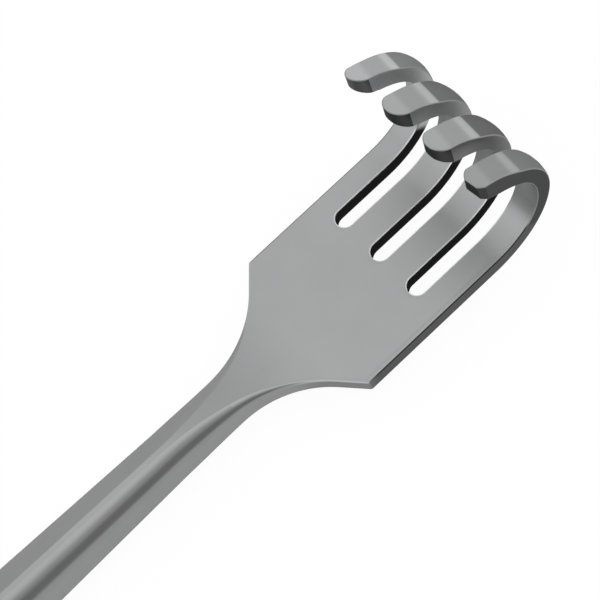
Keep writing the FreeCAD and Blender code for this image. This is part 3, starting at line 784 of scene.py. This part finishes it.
def satin_steel():
    """Bead-blasted stainless steel with a fine grain and faint cloudiness. A level attribute
    says how much light it gives back, painted shade and painted highlights included: that
    share of a bright metal, the rest of a black one."""
    material = bpy.data.materials.new("satin_steel")
    shade = Shade(material)
    place = shade.node("ShaderNodeTexCoord", out="Object")
    steel_level_and_painted_shading = shade.node("ShaderNodeAttribute", {"attribute_name": "steel_level_and_painted_shading"}, out="Fac")
    grain, cloud = (
        shade.node("ShaderNodeTexNoise", None, {"Vector": place, "Scale": scale, "Detail": detail})
        for scale, detail in ((GRAIN_SCALE, GRAIN_DETAIL), (CLOUD_SCALE, CLOUD_DETAIL))
    )
    along = shade.node("ShaderNodeSeparateXYZ", None, {0: place}, out="X")
    rough = ROUGHNESS + BLASTING * shade.ramp(along, *BLASTED) + CLOUD_ROUGHNESS * cloud
    bump = shade.node("ShaderNodeBump", None, {
        "Strength": GRAIN_STRENGTH, "Distance": GRAIN_HEIGHT, "Height": grain,
    })
    dark, bright = (
        shade.node("ShaderNodeBsdfPrincipled", None, {
            "Base Color": colour, "Specular Tint": tint, "Metallic": 1.0,
            "Roughness": rough, "Normal": bump,
        })
        for colour, tint in ((BLACK, BLACK), (BRIGHT_STEEL, WHITE))
    )
    level = steel_level_and_painted_shading * (LEVEL_BASE + LEVEL_CLOUD * cloud)
    steel = shade.node("ShaderNodeMixShader", None, {0: level.clamp(), 1: dark, 2: bright})
    shade.node("ShaderNodeOutputMaterial", None, {"Surface": steel})
    return material


# The floor: half its side, in metres, its matt colour, and how much of a steady white is
# mixed in where the camera or a reflection sees it.
FLOOR_HALF = 3.0
FLOOR_MATT = (0.95, 0.95, 0.95, 1)
FLOOR_WHITE = 0.95


def pale_floor():
    """A floor that the camera and reflections see nearly white, and that still takes the
    object's shadow."""
    material = bpy.data.materials.new("pale_floor")
    shade = Shade(material)
    path = shade.node("ShaderNodeLightPath", out="Is Camera Ray")
    outputs = path.socket.node.outputs
    glossy, through = (
        Socket(shade, outputs[name]) for name in ("Is Glossy Ray", "Is Transmission Ray")
    )
    seen = path + glossy + through
    matt = shade.node("ShaderNodeBsdfDiffuse", None, {"Color": FLOOR_MATT})
    white = shade.node("ShaderNodeEmission", None, {"Color": WHITE, "Strength": 1.0})
    share = seen.clamp() * FLOOR_WHITE
    floor = shade.node("ShaderNodeMixShader", None, {0: share, 1: matt, 2: white})
    shade.node("ShaderNodeOutputMaterial", None, {"Surface": floor})
    return material


def make_floor():
    """A flat square at the table's height."""
    mesh = bpy.data.meshes.new("floor")
    corners = ((-1, -1), (1, -1), (1, 1), (-1, 1))
    mesh.from_pydata([(x * FLOOR_HALF, y * FLOOR_HALF, 0) for x, y in corners], [], [(0, 1, 2, 3)])
    floor = bpy.data.objects.new("floor", mesh)
    bpy.context.scene.collection.objects.link(floor)
    mesh.materials.append(pale_floor())


# Light of the studio. Either part of the sky has a direction, as an angle from straight up
# towards the far side, how near to it a ray has to point, as cosines, and a level: the rise
# overhead is added and the gap on the camera's side is taken off. The two ends have how far
# sideways a ray has to point, and the level they add.
SKY_LEVEL = 0.968
OVERHEAD = (math.radians(3), 0.78, 1.0, 0.56)
GAP = (math.radians(-38), 0.885, 0.905, 0.55)
SIDE_REACH = (0.35, 0.85, 0.45)


def make_light():
    """A pale studio, brighter straight above and at its two ends, and darker in one band
    on the camera's side."""
    world = bpy.data.worlds.new("studio")
    bpy.context.scene.world = world
    shade = Shade(world)
    towards = shade.node("ShaderNodeTexCoord", out="Generated")
    overhead, gap = (
        share * shade.ramp(shade.dot(towards, (0, math.sin(angle), math.cos(angle))), low, high)
        for angle, low, high, share in (OVERHEAD, GAP)
    )
    low, high, share = SIDE_REACH
    ends = share * shade.ramp(abs(shade.dot(towards, (1, 0, 0))), low, high)
    level = SKY_LEVEL - gap + overhead + ends
    sky = shade.node("ShaderNodeBackground", None, {"Color": WHITE, "Strength": level})
    shade.node("ShaderNodeOutputWorld", None, {"Surface": sky})


# The camera: its place in millimetres, where it looks, its turn on that axis, its lens and
# sensor in millimetres, and the nearest distance it sees, in metres.
CAMERA_PLACE = (52.889, -76.494, 192.465)
CAMERA_LOOK = (0.08549, 0.39395, -0.91515)
CAMERA_TURN = math.radians(-31.717)
LENS = 77.974
SENSOR = 36.0
NEAREST = 0.01


def make_camera():
    """The photograph's view: a short distance above the prongs, turned on its axis."""
    camera = bpy.data.cameras.new("camera")
    camera.lens = LENS
    camera.sensor_width = SENSOR
    camera.clip_start = NEAREST
    seen = bpy.data.objects.new("camera", camera)
    seen.location = Vector(CAMERA_PLACE) * MM
    looking = Vector(CAMERA_LOOK).to_track_quat("-Z", "Y")
    seen.rotation_mode = "QUATERNION"
    seen.rotation_quaternion = looking @ Quaternion((0, 0, 1), CAMERA_TURN)
    bpy.context.scene.collection.objects.link(seen)
    bpy.context.scene.camera = seen


steel = satin_steel()
for piece, node in ((make_rake_head(), "rake_head"), (make_handle(), "handle")):
    piece.data.materials.append(steel)
    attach(piece, "root")
    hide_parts(node)

make_floor()
make_light()
make_camera()
bpy.context.scene.view_settings.view_transform = "Standard"
